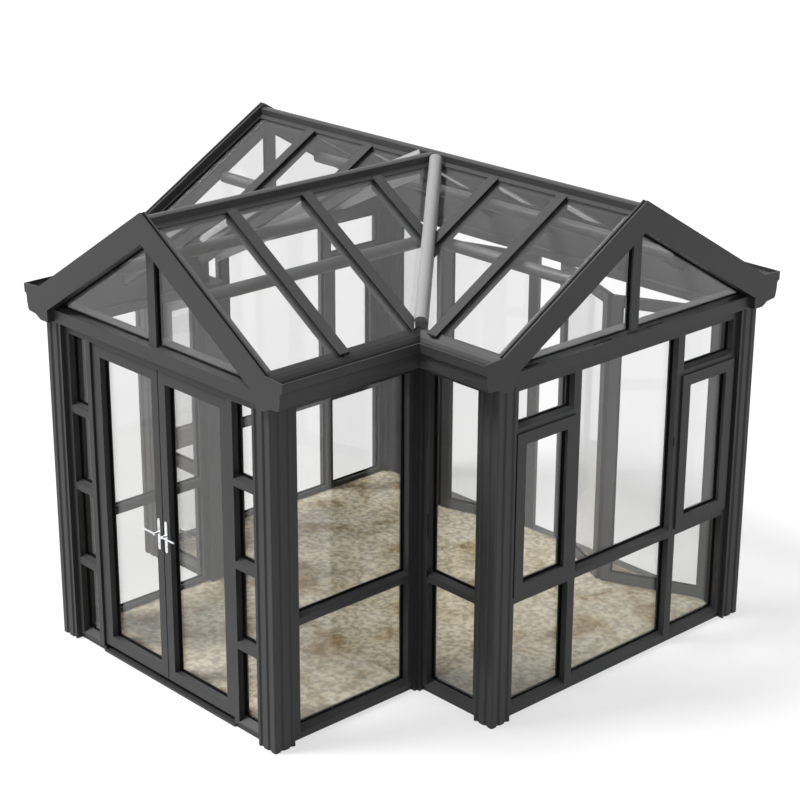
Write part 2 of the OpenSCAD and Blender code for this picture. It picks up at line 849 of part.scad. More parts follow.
ridge_side = ridge_half + seat;
flashing_r = ridge_half + flashing_width;

// A rafter with its web and cap
module rafter(run, a) {
    slope_piece(run, ridge_side, run - beam_inner - seat, k_rafter, k_under, a - rafter_width / 2, a + rafter_width / 2);
    slope_piece(run, ridge_side, run - pane_foot - seat, k_glass, k_rafter + eps, a - web_width / 2, a + web_width / 2);
    slope_piece(run, flashing_r + seat, run - cap_foot, k_cap + eps, k_glass - seat, a - web_width / 2, a + web_width / 2);
    slope_piece(run, flashing_r + seat, run - pane_foot - seat, k_cap + eps, k_glass + eps, a - web_width / 2, a + web_width / 2);
    slope_piece(run, flashing_r + seat, run - cap_foot, k_cap, k_cap + cap_thickness, a - cap_width / 2, a + cap_width / 2);
}

wing_bay = (wing_length + depth_half) / wing_bays;
main_bay = main_half / half_bays;

module wing_rafters() {
    color(frame_colour) place() keep() {
        for (side = [-1, 1]) flip(side) for (i = [1 : wing_bays - 1])
            rafter(wing_half, -wing_length + i * wing_bay);
        wing_plan();
    }
}

module main_rafters() {
    color(frame_colour) place() {
        keep() {
            on_front_slope() for (side = [-1, 1]) for (i = [1 : half_bays - 1]) rafter(depth_half, side * i * main_bay);
            front_plan();
        }
        on_back_slope() for (i = [1 - half_bays : half_bays - 1]) rafter(depth_half, i * main_bay);
    }
}

// Roof panes between the webs
pane_side = web_width / 2 + pane_clear;
rake_depth = 80;
glass_r0 = ridge_side + seat;

module wing_roof_glass() {
    color(glass_colour) place() keep() {
        for (side = [-1, 1]) flip(side) for (i = [0 : wing_bays - 1])
            slope_piece(wing_half, glass_r0, wing_half - pane_foot - seat, k_glass, k_glass + roof_glass,
                -wing_length + i * wing_bay + (i == 0 ? seat : pane_side), -wing_length + (i + 1) * wing_bay - pane_side);
        wing_plan();
    }
}

module main_slope_glass() {
    for (i = [-half_bays : half_bays - 1])
        slope_piece(depth_half, glass_r0, depth_half - pane_foot - seat, k_glass, k_glass + roof_glass,
            i * main_bay + (i == -half_bays ? seat : pane_side), (i + 1) * main_bay - (i == half_bays - 1 ? seat : pane_side));
}

module main_roof_glass() {
    color(glass_colour) place() {
        keep() {
            on_front_slope() main_slope_glass();
            front_plan();
        }
        on_back_slope() main_slope_glass();
    }
}

// Crowned ridge beam along +Y from a0 to a1; over the gables only its upper part runs on to the verge
module ridge_beam(run, a0, a1, over0, over1) {
    crown = ridge_height - ridge_down;
    over = ridge_height - k_rafter + seat;
    ridge_length(a0, a1) ridge_profile(crown - ridge_depth, crown);
    ridge_length(over0, over1) ridge_profile(over, crown);
}
module ridge_length(a0, a1) { translate([0, a1, 0]) rotate([90, 0, 0]) linear_extrude(a1 - a0) children(); }
module ridge_profile(z0, z1) {
    intersection() {
        rect(-ridge_half, z0, ridge_half, z1);
        translate([0, z1 - ridge_crown]) union() {
            circle(r = ridge_crown);
            rect(-ridge_half, -far, ridge_half, 0);
        }
    }
}

// Flashing strip on the glass on one side of a ridge
module ridge_flashing(run, a0, a1) {
    slope_piece(run, ridge_half - eps, flashing_r, k_glass - flashing, k_glass - seat, a0, a1);
}

main_over = main_half - seat;
main_under = main_half - rake_depth - seat;
flashing_end = main_half - verge_flange - seat;

module main_ridge() {
    color(frame_colour) place() {
        translate([0, depth_half, 0]) rotate([0, 0, 90])
            ridge_beam(depth_half, -main_under, main_under, -main_over, main_over);
        on_back_slope() ridge_flashing(depth_half, -flashing_end, flashing_end);
        keep() {
            on_front_slope() ridge_flashing(depth_half, -flashing_end, flashing_end);
            front_plan();
        }
    }
}

module wing_ridge() {
    wing_end = depth_half - ridge_half - 2 * seat;
    color(frame_colour) place() {
        ridge_beam(wing_half, -wing_length + rake_depth + seat, wing_end, -wing_length + seat, wing_end);
        keep() {
            for (side = [-1, 1]) flip(side) ridge_flashing(wing_half, -wing_length + verge_flange + seat, wing_end);
            wing_plan();
        }
    }
}

// Valley beams with rounded caps; the beam ends at the eaves beams and its cap runs on over them
valley_r0 = 110;
valley_cap_foot = 60;
valley_foot = 1 + max(
    (beam_inner + valley_half * depth_half / valley_run) * valley_run / wing_half,
    (beam_inner + valley_half * wing_half / valley_run) * valley_run / depth_half
);
module valley() {
    slope = atan2(roof_rise, valley_run);
    cap_run = valley_run - valley_cap_foot - valley_r0;
    translate([0, depth_half, 0]) rotate([0, 0, -valley_turn]) {
        slope_piece(valley_run, valley_r0, valley_run - valley_foot, k_valley, k_under, -valley_half, valley_half);
        translate([0, 0, ridge_height - k_valley]) rotate([0, 90 + slope, 0]) translate([0, 0, valley_r0])
            intersection() {
                cylinder(r = valley_radius, h = cap_run / cos(slope));
                translate([-2 * valley_radius, -valley_radius, -eps]) cube([2 * valley_radius + eps, 2 * valley_radius, far]);
            }
    }
}
module valleys() {
    color(valley_colour) place() for (side = [-1, 1]) flip(side) valley();
}

// Purlin tubes under the rafters
module purlin(run, a0, a1) {
    r = run * purlin_share;
    translate([r, a0, roof_z(r, run) - k_purlin]) rotate([-90, 0, 0]) cylinder(r = purlin_radius, h = a1 - a0);
}

module purlins() {
    color(frame_colour) place() {
        keep() {
            for (side = [-1, 1]) flip(side) purlin(wing_half, -wing_length + rake_depth + seat, depth_half);
            wing_plan();
        }
        keep() {
            on_front_slope() purlin(depth_half, -main_half + rake_depth + seat, main_half - rake_depth - seat);
            front_plan();
        }
        on_back_slope() purlin(depth_half, -main_half + rake_depth + seat, main_half - rake_depth - seat);
    }
}

// Gables: drawn facing -Y with the ridge over x = 0, the wall face at y = 0

module gable_rake(run) {
    slope_piece(run, 0, run - beam_inner - seat, k_rafter, verge_height, seat, rake_depth);
}

module gable_frame(run) {
    half = run - beam_inner - seat;
    tie_top = wall_top + tie_height;
    // Tie beam with a bevelled top
    translate([-half, 0, 0]) rotate([90, 0, 90]) linear_extrude(2 * half) polygon([
        [0, wall_top], [post_size, wall_top], [post_size, tie_top + tie_bevel],
        [bevel_depth, tie_top + tie_bevel], [0, tie_top]
    ]);
    upright(king_setback, rake_depth) {
        rect(-king_width / 2, tie_top - eps, king_width / 2, ridge_height - verge_height);
    }
    for (side = [-1, 1]) flip(side) gable_rake(run);
}

module gable_panes(run) {
    half = king_width / 2 + pane_clear;
    base = wall_top + tie_height + tie_bevel + pane_clear;
    slope = roof_rise / run;
    for (side = [-1, 1]) flip(side) upright(gable_glass_at, gable_glass_at + glass_thickness) polygon([
        [half, base],
        [(ridge_height - verge_height - pane_clear - base) / slope, base],
        [half, ridge_height - verge_height - pane_clear - half * slope]
    ]);
}

module verge(run) {
    slope = roof_rise / run;
    for (side = [-1, 1]) flip(side) {
        difference() {
            verge_board(run, slope, -verge_proud, 0);
            slope_piece(run, -eps, run + 2 * verge_foot, -eps, verge_groove, verge_lip - verge_proud, -verge_lip);
        }
        slope_piece(run, ridge_side, run - pane_foot, k_glass - flashing, k_glass - seat, -eps, verge_flange);
    }
}

// Half of a verge board, cut square to its slope at the foot
module verge_board(run, slope, a0, a1) {
    foot = run + verge_foot;
    lean = atan(slope);
    depth = verge_height * cos(lean);
    translate([0, a1, 0]) rotate([90, 0, 0]) linear_extrude(a1 - a0) polygon([
        [0, ridge_height - verge_height],
        [foot - depth * sin(lean), roof_z(foot, run) - depth * cos(lean)],
        [foot, roof_z(foot, run)],
        [0, ridge_height]
    ]);
}

module at_wing_gable() { translate([0, -wing_length, 0]) children(); }
module at_right_gable() { translate([main_half, depth_half, 0]) rotate([0, 0, 90]) children(); }

module wing_gable_frame() { color(frame_colour) place() at_wing_gable() gable_frame(wing_half); }
module right_gable_frame() { color(frame_colour) place() at_right_gable() gable_frame(depth_half); }
module left_gable_frame() { color(frame_colour) place() flip(-1) at_right_gable() gable_frame(depth_half); }
module gable_glass() {
    color(glass_colour) place() {
        at_wing_gable() gable_panes(wing_half);
        for (side = [-1, 1]) flip(side) at_right_gable() gable_panes(depth_half);
    }
}
module wing_verge() { color(frame_colour) place() at_wing_gable() verge(wing_half); }
module right_verge() { color(frame_colour) place() at_right_gable() verge(depth_half); }
module left_verge() { color(frame_colour) place() flip(-1) at_right_gable() verge(depth_half); }

floor_slab();
corner_posts();
inner_posts();
left_side_light();
right_side_light();
door_frame();
wing_left_wall();
wing_right_wall();
front_left_wall();
front_right_wall();
left_end_wall();
right_end_wall();
back_frame();
casements();
folding_doors();
left_door();
right_door();
left_door_glass();
right_door_glass();
left_plates();
right_plates();
left_lever();
right_lever();
side_light_glass();
left_wall_glass();
right_wall_glass();
left_end_glass();
right_end_glass();
folding_glass();
wing_left_eaves();
wing_right_eaves();
front_left_eaves();
front_right_eaves();
back_eaves();
wing_gable_frame();
left_gable_frame();
right_gable_frame();
gable_glass();
wing_verge();
left_verge();
right_verge();
main_ridge();
wing_ridge();
valleys();
wing_rafters();
main_rafters();
purlins();
wing_roof_glass();
main_roof_glass();
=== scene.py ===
"""Looks of a glass conservatory with two gabled wings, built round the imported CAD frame.

Metres throughout, in the row frame: X right along the entrance front, Y towards the back wall, Z up.
"""
import json
import logging
import math
from collections.abc import Callable
from dataclasses import dataclass, field
from enum import Enum

import bmesh
import bpy
from mathutils import Matrix, Vector


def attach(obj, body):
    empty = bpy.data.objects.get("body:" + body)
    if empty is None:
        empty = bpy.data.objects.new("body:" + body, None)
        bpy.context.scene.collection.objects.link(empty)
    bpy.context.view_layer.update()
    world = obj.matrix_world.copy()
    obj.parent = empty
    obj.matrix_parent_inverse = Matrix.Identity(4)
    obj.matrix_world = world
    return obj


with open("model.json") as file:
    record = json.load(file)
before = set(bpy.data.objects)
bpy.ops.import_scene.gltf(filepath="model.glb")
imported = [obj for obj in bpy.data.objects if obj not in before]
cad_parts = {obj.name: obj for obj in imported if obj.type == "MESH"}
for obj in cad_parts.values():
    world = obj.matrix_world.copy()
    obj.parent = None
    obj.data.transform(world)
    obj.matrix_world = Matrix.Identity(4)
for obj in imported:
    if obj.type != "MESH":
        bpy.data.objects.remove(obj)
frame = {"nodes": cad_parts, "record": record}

log = logging.getLogger("conservatory")
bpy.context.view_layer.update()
BODY_OF_NODE = {node: body for body, nodes in frame["record"]["behaviour"]["bodies"].items() for node in nodes}


# Small helpers


def linear(hex_colour: str) -> tuple[float, float, float, float]:
    """Turn an sRGB hex colour into linear RGBA.

    Args:
        hex_colour: six hex digits with a leading hash.

    Returns:
        Linear red, green, blue and an alpha of 1.
    """
    parts = [int(hex_colour[i:i + 2], 16) / 255 for i in (1, 3, 5)]
    curve = [c / 12.92 if c <= 0.04045 else ((c + 0.055) / 1.055) ** 2.4 for c in parts]
    return (*curve, 1.0)


def add_node(tree: bpy.types.NodeTree, kind: str, settings: dict | None = None,
             inputs: dict | None = None) -> bpy.types.Node:
    """Add one node with its settings and inputs.

    Args:
        tree: the node tree that takes the node.
        kind: the node's type name.
        settings: attributes set on the node.
        inputs: values or sockets, by socket name or number. A socket is linked, any other value is set.

    Returns:
        The new node.
    """
    node = tree.nodes.new(kind)
    for name, value in (settings or {}).items():
        setattr(node, name, value)
    for name, value in (inputs or {}).items():
        socket = node.inputs[name]
        if isinstance(value, bpy.types.NodeSocket):
            tree.links.new(value, socket)
        else:
            socket.default_value = value
    return node


def new_material(name: str) -> tuple[bpy.types.Material, bpy.types.NodeTree, bpy.types.NodeSocket]:
    """Make an empty node material.

    Args:
        name: the material's name.

    Returns:
        The material, its tree and the output's surface socket.
    """
    material = bpy.data.materials.new(name)
    material.use_nodes = True
    tree = material.node_tree
    tree.nodes.clear()
    output = tree.nodes.new("ShaderNodeOutputMaterial")
    return material, tree, output.inputs["Surface"]


def add_piece(name: str, mesh: bpy.types.Mesh, body: str) -> bpy.types.Object:
    """Put a finished mesh in the scene on its CAD body.

    Args:
        name: the piece's name.
        mesh: its mesh, already in the row frame and dressed.
        body: the CAD body that carries it.

    Returns:
        The new object.
    """
    piece = bpy.data.objects.new(name, mesh)
    bpy.context.scene.collection.objects.link(piece)
    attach(piece, body)
    log.info("%s: %d faces on %s", name, len(mesh.polygons), body)
    return piece


def mesh_from(bm: bmesh.types.BMesh, name: str, material: bpy.types.Material) -> bpy.types.Mesh:
    """Close a bmesh into a dressed mesh with outward normals.

    Args:
        bm: the shape, freed afterwards.
        name: the mesh's name.
        material: its finish.

    Returns:
        The mesh.
    """
    bmesh.ops.recalc_face_normals(bm, faces=bm.faces)
    mesh = bpy.data.meshes.new(name)
    bm.to_mesh(mesh)
    bm.free()
    mesh.materials.append(material)
    return mesh


def grow(name: str, base: bpy.types.Mesh, tree: bpy.types.NodeTree, values: dict) -> bpy.types.Mesh:
    """Run a Geometry Nodes tree over a base mesh and keep the result as a plain mesh.

    Args:
        name: the new mesh's name.
        base: the points or lines that the tree works on.
        tree: the Geometry Nodes tree.
        values: the tree's inputs by their names.

    Returns:
        The mesh that the tree makes.
    """
    carrier = bpy.data.objects.new(name + "_carrier", base)
    modifier = carrier.modifiers.new("tree", "NODES")
    modifier.node_group = tree
    for item in tree.interface.items_tree:
        if item.item_type == "SOCKET" and item.in_out == "INPUT" and item.name in values:
            modifier[item.identifier] = values[item.name]
    bpy.context.scene.collection.objects.link(carrier)
    evaluated = carrier.evaluated_get(bpy.context.evaluated_depsgraph_get())
    mesh = bpy.data.meshes.new_from_object(evaluated)
    mesh.name = name
    carrier.modifiers.remove(modifier)
    bpy.data.objects.remove(carrier)
    return mesh


class Side(Enum):
    """Which way along an axis a piece stands."""

    LEFT = -1
    RIGHT = 1


# Geometry Nodes trees


def new_tree(name: str, inputs: dict[str, str]) -> tuple[bpy.types.NodeTree, bpy.types.Node]:
    """Start a Geometry Nodes tree with a geometry input and output and other named inputs.

    Args:
        name: the tree's name.
        inputs: socket types by input name.

    Returns:
        The tree and its input node.
    """
    tree = bpy.data.node_groups.new(name, "GeometryNodeTree")
    tree.interface.new_socket("Geometry", in_out="INPUT", socket_type="NodeSocketGeometry")
    for label, kind in inputs.items():
        tree.interface.new_socket(label, in_out="INPUT", socket_type=kind)
    tree.interface.new_socket("Geometry", in_out="OUTPUT", socket_type="NodeSocketGeometry")
    return tree, tree.nodes.new("NodeGroupInput")


def end_tree(tree: bpy.types.NodeTree, geometry: bpy.types.NodeSocket, finish: bpy.types.NodeSocket) -> None:
    """Close a tree with Realize Instances and Set Material.

    Args:
        tree: the tree.
        geometry: what it made.
        finish: the material input.
    """
    real = add_node(tree, "GeometryNodeRealizeInstances", inputs={"Geometry": geometry})
    dressed = add_node(tree, "GeometryNodeSetMaterial",
                       inputs={"Geometry": real.outputs[0], "Material": finish})
    output = tree.nodes.new("NodeGroupOutput")
    tree.links.new(dressed.outputs[0], output.inputs[0])


def strip_tree() -> bpy.types.NodeTree:
    """Return a tree that runs a flat rubber strip along every line of the base mesh.

    Returns:
        The tree, with inputs Width, Height and Finish.
    """
    tree, given = new_tree("rubber_strip", {"Width": "NodeSocketFloat", "Height": "NodeSocketFloat",
                                            "Finish": "NodeSocketMaterial"})
    line = add_node(tree, "GeometryNodeMeshToCurve", inputs={"Mesh": given.outputs["Geometry"]})
    level = add_node(tree, "GeometryNodeSetCurveNormal", inputs={"Curve": line.outputs[0]})
    if "Mode" in level.inputs:
        level.inputs["Mode"].default_value = "Z Up"
    else:
        level.mode = "Z_UP"
    section = add_node(tree, "GeometryNodeCurvePrimitiveQuadrilateral",
                       inputs={"Width": given.outputs["Width"], "Height": given.outputs["Height"]})
    swept = add_node(tree, "GeometryNodeCurveToMesh",
                     inputs={"Curve": level.outputs[0], "Profile Curve": section.outputs[0], "Fill Caps": True})
    end_tree(tree, swept.outputs[0], given.outputs["Finish"])
    return tree


def screw_tree(sides: int = 16, crown: float = 0.86, mouth: float = 0.55,
               socket: float = 0.6) -> bpy.types.NodeTree:
    """Return a tree that stands a socket screw on every point, along the point's outward attribute.

    Args:
        sides: corners of the head's outline.
        crown: width of the head's top as a share of its foot.
        mouth: width of the socket as a share of the head's top.
        socket: depth of the socket as a share of the head's height.

    Returns:
        The tree, with inputs Radius, Head and Finish.
    """
    tree, given = new_tree("socket_screw", {"Radius": "NodeSocketFloat", "Head": "NodeSocketFloat",
                                            "Finish": "NodeSocketMaterial"})
    disc = add_node(tree, "GeometryNodeMeshCircle", {"fill_type": "NGON"},
                    {"Vertices": sides, "Radius": given.outputs["Radius"]})
    side = add_node(tree, "GeometryNodeExtrudeMesh", {"mode": "FACES"},
                    {"Mesh": disc.outputs[0], "Offset Scale": given.outputs["Head"]})
    top = add_node(tree, "GeometryNodeScaleElements", inputs={
        "Geometry": side.outputs["Mesh"], "Selection": side.outputs["Top"], "Scale": crown})
    rim = add_node(tree, "GeometryNodeExtrudeMesh", {"mode": "FACES"}, {
        "Mesh": top.outputs[0], "Selection": side.outputs["Top"], "Offset Scale": 0.0})
    opening = add_node(tree, "GeometryNodeScaleElements", inputs={
        "Geometry": rim.outputs["Mesh"], "Selection": rim.outputs["Top"], "Scale": mouth})
    depth = add_node(tree, "ShaderNodeMath", {"operation": "MULTIPLY"}, {0: given.outputs["Head"], 1: -socket})
    recess = add_node(tree, "GeometryNodeExtrudeMesh", {"mode": "FACES"}, {
        "Mesh": opening.outputs[0], "Selection": rim.outputs["Top"], "Offset Scale": depth.outputs[0]})
    outward = add_node(tree, "GeometryNodeInputNamedAttribute", {"data_type": "FLOAT_VECTOR"},
                       {"Name": "outward"})
    turn = add_node(tree, "FunctionNodeAlignRotationToVector", {"axis": "Z"},
                    {"Vector": outward.outputs["Attribute"]})
    points = add_node(tree, "GeometryNodeMeshToPoints", inputs={"Mesh": given.outputs["Geometry"]})
    placed = add_node(tree, "GeometryNodeInstanceOnPoints",
                      inputs={"Points": points.outputs[0], "Instance": recess.outputs["Mesh"],
                              "Rotation": turn.outputs[0]})
    end_tree(tree, placed.outputs[0], given.outputs["Finish"])
    return tree


def hinge_tree(sides: int = 20, seat: float = 0.4) -> bpy.types.NodeTree:
    """Return a tree that hangs a butt hinge on every point, its two leaves folded by an angle.

    Args:
        sides: corners of the barrel's outline.
        seat: how far the middle of a leaf stands off the panel, as a share of the leaf's thickness.

    Returns:
        The tree, with inputs Angle, Barrel, Length, Leaf, Thickness and Finish.
    """
    tree, given = new_tree("butt_hinge", {"Angle": "NodeSocketFloat", "Barrel": "NodeSocketFloat",
                                          "Length": "NodeSocketFloat", "Leaf": "NodeSocketFloat",
                                          "Thickness": "NodeSocketFloat", "Finish": "NodeSocketMaterial"})
    barrel = add_node(tree, "GeometryNodeMeshCylinder", inputs={
        "Vertices": sides, "Radius": given.outputs["Barrel"], "Depth": given.outputs["Length"]})
    shift = add_node(tree, "ShaderNodeCombineXYZ", inputs={"Y": given.outputs["Barrel"]})
    parts = [add_node(tree, "GeometryNodeTransform", inputs={
        "Geometry": barrel.outputs["Mesh"], "Translation": shift.outputs[0]})]
    size = add_node(tree, "ShaderNodeCombineXYZ", inputs={
        "X": given.outputs["Leaf"], "Y": given.outputs["Thickness"], "Z": given.outputs["Length"]})
    plate = add_node(tree, "GeometryNodeMeshCube", inputs={"Size": size.outputs[0]})
    for side in Side:
        half = add_node(tree, "ShaderNodeMath", {"operation": "MULTIPLY"},
                        {0: given.outputs["Leaf"], 1: 0.5 * side.value})
        rise = add_node(tree, "ShaderNodeMath", {"operation": "MULTIPLY"},
                        {0: given.outputs["Thickness"], 1: seat})
        place = add_node(tree, "ShaderNodeCombineXYZ", inputs={"X": half.outputs[0], "Y": rise.outputs[0]})
        turn = add_node(tree, "ShaderNodeMath", {"operation": "MULTIPLY"},
                        {0: given.outputs["Angle"], 1: float(side.value)})
        spin = add_node(tree, "ShaderNodeCombineXYZ", inputs={"Z": turn.outputs[0]})
        laid = add_node(tree, "GeometryNodeTransform", inputs={
            "Geometry": plate.outputs["Mesh"], "Translation": place.outputs[0]})
        parts.append(add_node(tree, "GeometryNodeTransform", inputs={
            "Geometry": laid.outputs[0], "Rotation": spin.outputs[0]}))
    joined = add_node(tree, "GeometryNodeJoinGeometry")
    for part in parts:
        tree.links.new(part.outputs[0], joined.inputs[0])
    points = add_node(tree, "GeometryNodeMeshToPoints", inputs={"Mesh": given.outputs["Geometry"]})
    placed = add_node(tree, "GeometryNodeInstanceOnPoints",
                      inputs={"Points": points.outputs[0], "Instance": joined.outputs[0]})
    end_tree(tree, placed.outputs[0], given.outputs["Finish"])
    return tree


# Finishes


@dataclass(frozen=True)
class PowderCoat:
    """Polyester powder coat on extruded aluminium: dark grey, satin, with a faint orange-peel grain."""

    name: str = "powder_coated_aluminium"
    colour: str = "#353536"
    pale: str = "#3d3d3e"
    roughness: float = 0.42
    specular: float = 0.32
    cloud_m: float = 0.35
    grain_m: float = 0.0025
    grain_height_m: float = 0.00005
    grain_strength: float = 0.6

    def material(self) -> bpy.types.Material:
        """Build the coat: a slow change of tone over each bar and a fine grain in the gloss.

        Returns:
            The material.
        """
        material, tree, surface = new_material(self.name)
        place = add_node(tree, "ShaderNodeTexCoord").outputs["Object"]
        cloud = add_node(tree, "ShaderNodeTexNoise",
                         inputs={"Vector": place, "Scale": 1 / self.cloud_m, "Detail": 2.0})
        tone = add_node(tree, "ShaderNodeMix", {"data_type": "RGBA"},
                        {"Factor": cloud.outputs["Fac"], 6: linear(self.colour), 7: linear(self.pale)})
        grain = add_node(tree, "ShaderNodeTexNoise",
                         inputs={"Vector": place, "Scale": 1 / self.grain_m, "Detail": 1.0})
        bump = add_node(tree, "ShaderNodeBump",
                        inputs={"Height": grain.outputs["Fac"], "Distance": self.grain_height_m,
                                "Strength": self.grain_strength})
        shader = add_node(tree, "ShaderNodeBsdfPrincipled",
                          inputs={"Base Color": tone.outputs[2], "Roughness": self.roughness,
                                  "Specular IOR Level": self.specular, "Normal": bump.outputs["Normal"]})
        tree.links.new(shader.outputs["BSDF"], surface)
        return material


@dataclass(frozen=True)
class ClearGlass:
    """Toughened float glass with a faint grey tint: clear straight on and glossier at a low angle, where a
    painted dark reflection darkens its colour.
    """

    name: str = "toughened_glass"
    tint: str = "#f4f4f4"
    # The low-angle colour is a painted dark reflection, mixed in by how squarely the pane faces the view.
    low_angle_painted_reflection: str = "#5c5d5d"
    shadow_tint: str = "#efefef"
    ior: float = 1.45
    facing_blend: float = 0.12

    def material(self) -> bpy.types.Material:
        """Build the glass, which lamps pass through as they do through a real pane.

        Returns:
            The material.
        """
        material, tree, surface = new_material(self.name)
        facing = add_node(tree, "ShaderNodeLayerWeight", inputs={"Blend": self.facing_blend})
        # The colour turns from the faint tint straight on to the painted dark reflection at a low angle.
        tint = add_node(tree, "ShaderNodeMix", {"data_type": "RGBA"},
                        {"Factor": facing.outputs["Facing"], 6: linear(self.tint),
                         7: linear(self.low_angle_painted_reflection)})
        glass = add_node(tree, "ShaderNodeBsdfPrincipled",
                         inputs={"Base Color": tint.outputs[2], "Roughness": 0.0, "IOR": self.ior,
                                 "Transmission Weight": 1.0})
        clear = add_node(tree, "ShaderNodeBsdfTransparent", inputs={"Color": linear(self.shadow_tint)})
        path = add_node(tree, "ShaderNodeLightPath")
        mix = add_node(tree, "ShaderNodeMixShader",
                       inputs={0: path.outputs["Is Shadow Ray"], 1: glass.outputs[0], 2: clear.outputs[0]})
        tree.links.new(mix.outputs[0], surface)
        return material


@dataclass(frozen=True)
class SatinChrome:
    """Satin chrome on cast zinc: pale silver with soft, blurred reflections."""

    name: str = "satin_chrome_zinc"
    colour: str = "#e4e5e6"
    roughness: float = 0.28
    roughness_swing: float = 0.06
    brush_m: float = 0.0012

    def material(self) -> bpy.types.Material:
        """Build the metal, its gloss broken by fine brushing.

        Returns:
            The material.
        """
        material, tree, surface = new_material(self.name)
        place = add_node(tree, "ShaderNodeTexCoord").outputs["Object"]
        brush = add_node(tree, "ShaderNodeTexNoise", inputs={"Vector": place, "Scale": 1 / self.brush_m})
        rough = add_node(tree, "ShaderNodeMapRange",
                         inputs={0: brush.outputs["Fac"], 3: self.roughness - self.roughness_swing,
                                 4: self.roughness + self.roughness_swing})
        shader = add_node(tree, "ShaderNodeBsdfPrincipled",
                          inputs={"Base Color": linear(self.colour), "Metallic": 1.0,
                                  "Roughness": rough.outputs[0]})
        tree.links.new(shader.outputs["BSDF"], surface)
        return material


@dataclass(frozen=True)
class Rubber:
    """Extruded EPDM glazing rubber: black and matt, with a dusty bloom in patches."""

    name: str = "epdm_rubber"
    colour: str = "#0a0a0b"
    bloom: str = "#131314"
    roughness: float = 0.85
    specular: float = 0.1
    patch_m: float = 0.05

    def material(self) -> bpy.types.Material:
        """Build the rubber, a little paler where the bloom lies.

        Returns:
            The material.
        """
        material, tree, surface = new_material(self.name)
        place = add_node(tree, "ShaderNodeTexCoord").outputs["Object"]
        patch = add_node(tree, "ShaderNodeTexNoise",
                         inputs={"Vector": place, "Scale": 1 / self.patch_m, "Detail": 3.0})
        tone = add_node(tree, "ShaderNodeMix", {"data_type": "RGBA"},
                        {"Factor": patch.outputs["Fac"], 6: linear(self.colour), 7: linear(self.bloom)})
        shader = add_node(tree, "ShaderNodeBsdfPrincipled",
                          inputs={"Base Color": tone.outputs[2], "Roughness": self.roughness,
                                  "Specular IOR Level": self.specular})
        tree.links.new(shader.outputs["BSDF"], surface)
        return material


@dataclass(frozen=True)
class StoneFloor:
    """Honed limestone screed: greyish tan with brown and pale patches and a sandy speckle."""

    name: str = "mottled_limestone"
    base: str = "#989079"
    brown: str = "#7d6a48"
    pale: str = "#a69e8b"
    patch_m: float = 0.42
    patch_roughness: float = 0.66
    patch_warp: float = 0.6
    brown_at: float = 0.38
    base_at: float = 0.47
    pale_at: float = 0.60
    speckle_m: float = 0.038
    speckle_share: float = 0.34
    speckle_from: tuple[float, float] = (0.38, 0.62)
    speckle_to: tuple[float, float] = (0.1, 0.95)
    roughness: float = 0.62
    specular: float = 0.3

    def material(self) -> bpy.types.Material:
        """Build the stone: broad patches, smaller veins and a fine speckle.

        Returns:
            The material.
        """
        material, tree, surface = new_material(self.name)
        place = add_node(tree, "ShaderNodeTexCoord").outputs["Object"]
        patch = add_node(tree, "ShaderNodeTexNoise",
                         inputs={"Vector": place, "Scale": 1 / self.patch_m, "Detail": 6.0,
                                 "Roughness": self.patch_roughness, "Distortion": self.patch_warp})
        ramp = add_node(tree, "ShaderNodeValToRGB", inputs={"Fac": patch.outputs["Fac"]})
        ramp.color_ramp.elements[0].position = self.brown_at
        ramp.color_ramp.elements[0].color = linear(self.brown)
        ramp.color_ramp.elements[1].position = self.pale_at
        ramp.color_ramp.elements[1].color = linear(self.pale)
        middle = ramp.color_ramp.elements.new(self.base_at)
        middle.color = linear(self.base)
        speckle = add_node(tree, "ShaderNodeTexNoise",
                           inputs={"Vector": place, "Scale": 1 / self.speckle_m, "Detail": 2.0})
        contrast = add_node(tree, "ShaderNodeMapRange",
                            inputs={0: speckle.outputs["Fac"], 1: self.speckle_from[0],
                                    2: self.speckle_from[1], 3: self.speckle_to[0], 4: self.speckle_to[1]})
        stone = add_node(tree, "ShaderNodeMix", {"data_type": "RGBA", "blend_type": "OVERLAY"},
                         {"Factor": self.speckle_share, 6: ramp.outputs["Color"]})
        tree.links.new(contrast.outputs[0], stone.inputs[7])
        shader = add_node(tree, "ShaderNodeBsdfPrincipled",
                          inputs={"Base Color": stone.outputs[2], "Roughness": self.roughness,
                                  "Specular IOR Level": self.specular})
        tree.links.new(shader.outputs["BSDF"], surface)
        return material


# The stage, the light and the camera


